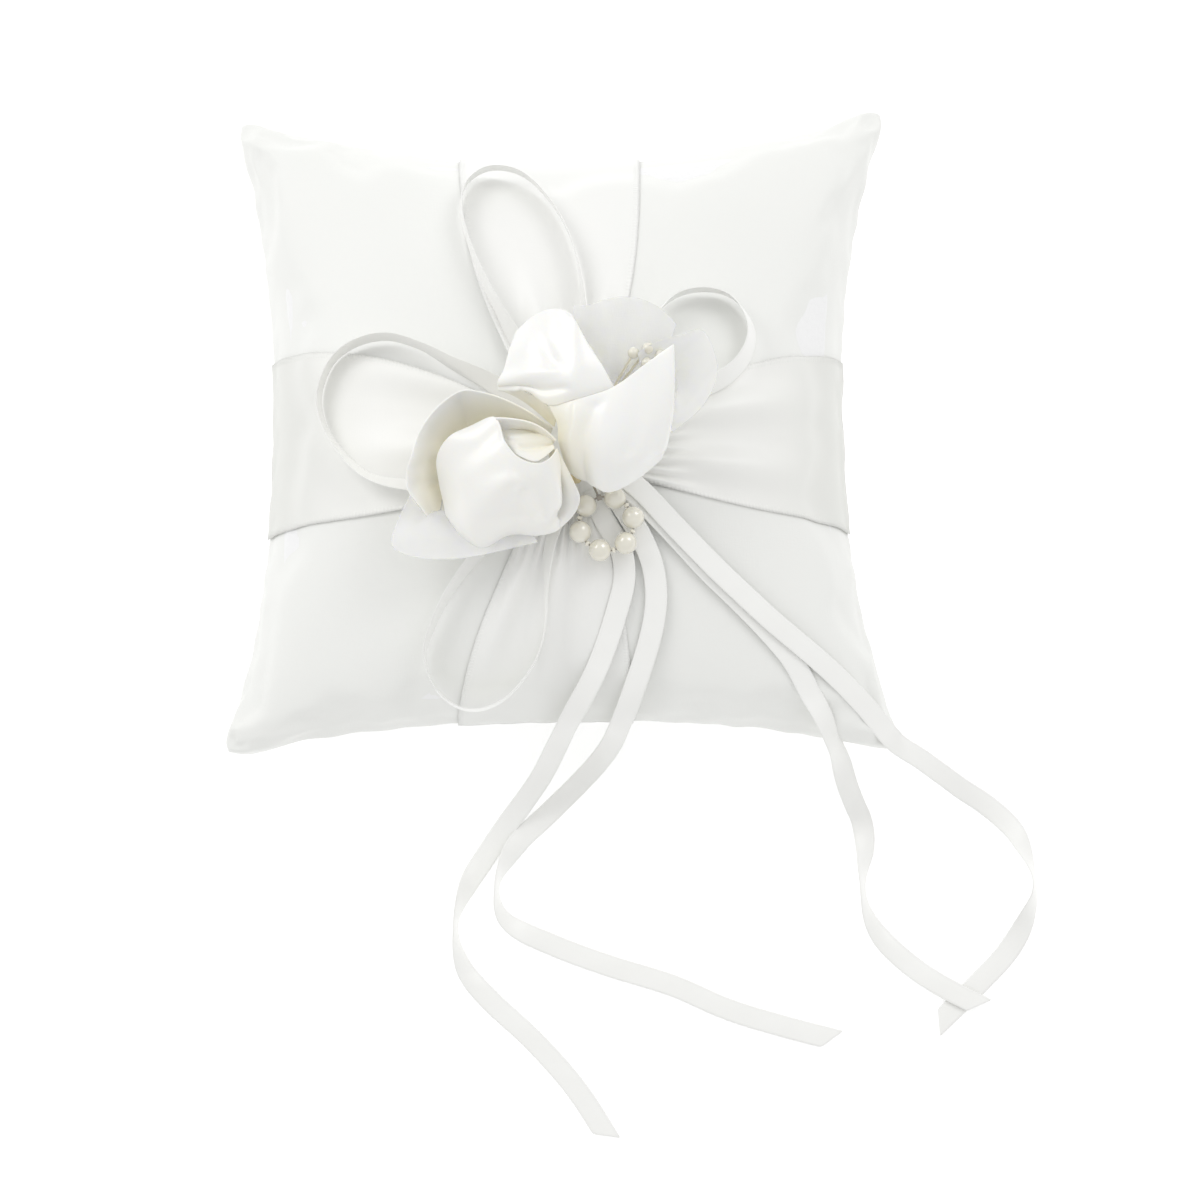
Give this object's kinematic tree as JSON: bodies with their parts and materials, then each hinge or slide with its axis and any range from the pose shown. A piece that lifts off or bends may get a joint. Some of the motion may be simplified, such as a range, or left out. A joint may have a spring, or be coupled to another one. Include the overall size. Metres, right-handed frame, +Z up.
{
  "type": "ring bearer pillow",
  "caption": "Stuffed white satin ring pillow with two gathered satin bands, fabric flowers, a bow with long ribbon tails and a small ring of pearls.",
  "frame": {"origin": "on the flat of the underside, where it rests on the table, below the middle of the sewn square", "axes": "+Z up from the table, +X to the right and -Y to the front edge that the ribbon tails fall over"},
  "size_m": [0.2184, 0.2829, 0.0734],
  "materials": {
    "cover_satin": "off-white polyester satin, soft sheen",
    "fibre_fill": "loose white polyester fibre",
    "white_thread": "white sewing thread",
    "band_satin": "white satin ribbon with ribbed selvedges",
    "ribbon_satin": "bright white double-face satin ribbon",
    "organza": "sheer organza",
    "petal_satin": "ivory satin, smooth sheen",
    "amber_glue": "set hot-melt glue, translucent amber",
    "waxed_thread": "waxed cotton thread",
    "pearl": "pearlescent ivory coating, high gloss",
    "seed_bead": "pearlescent glass-like bead, gloss",
    "wire": "thin florist's wire, dull"
  },
  "bodies": {
    "pillow": {"cover_front": "cover_satin", "cover_back": "cover_satin", "fibre_filling": "fibre_fill", "perimeter_stitching": "white_thread", "band_across": "band_satin", "band_lengthwise": "band_satin", "gather_thread": "white_thread", "ribbon_knot": "ribbon_satin", "loop_top": "ribbon_satin", "loop_left": "ribbon_satin", "loop_bottom": "ribbon_satin", "loop_right": "ribbon_satin", "tail_left_outer": "ribbon_satin", "tail_left_inner": "ribbon_satin", "tail_right_inner": "ribbon_satin", "tail_right_outer": "ribbon_satin", "flower_pad": "organza", "glue_dab": "amber_glue", "rose_bud_core": "petal_satin", "rose_bud_wrap": "petal_satin", "rose_front_petal": "petal_satin", "rose_left_petal": "petal_satin", "rose_right_petal": "petal_satin", "rose_organza_petal": "organza", "blossom_left_petal": "petal_satin", "blossom_front_petal": "petal_satin", "blossom_inner_petal": "petal_satin", "blossom_organza_back": "organza", "blossom_organza_right": "organza", "stamen_stem_1": "waxed_thread", "stamen_stem_2": "waxed_thread", "stamen_stem_3": "waxed_thread", "stamen_stem_4": "waxed_thread", "stamen_pearl_1": "pearl", "stamen_pearl_2": "pearl", "stamen_pearl_3": "pearl", "stamen_pearl_4": "pearl", "hanging_eye": "wire"},
    "pearl_ring": {"ring_wire": "wire", "ring_pearl_1": "pearl", "ring_pearl_2": "pearl", "ring_pearl_3": "pearl", "ring_pearl_4": "pearl", "ring_pearl_5": "pearl", "ring_pearl_6": "pearl", "seed_bead_1": "seed_bead", "seed_bead_2": "seed_bead", "seed_bead_3": "seed_bead", "seed_bead_4": "seed_bead", "seed_bead_5": "seed_bead"}
  },
  "joints": [
    {"name": "pearl_ring_swing", "type": "hinge", "parent": "pillow", "child": "pearl_ring", "pos_m": [0.0105, -0.0283, 0.0536], "axis": [-0.9659, -0.2588, 0], "range_deg": [0, 45]}
  ]
}
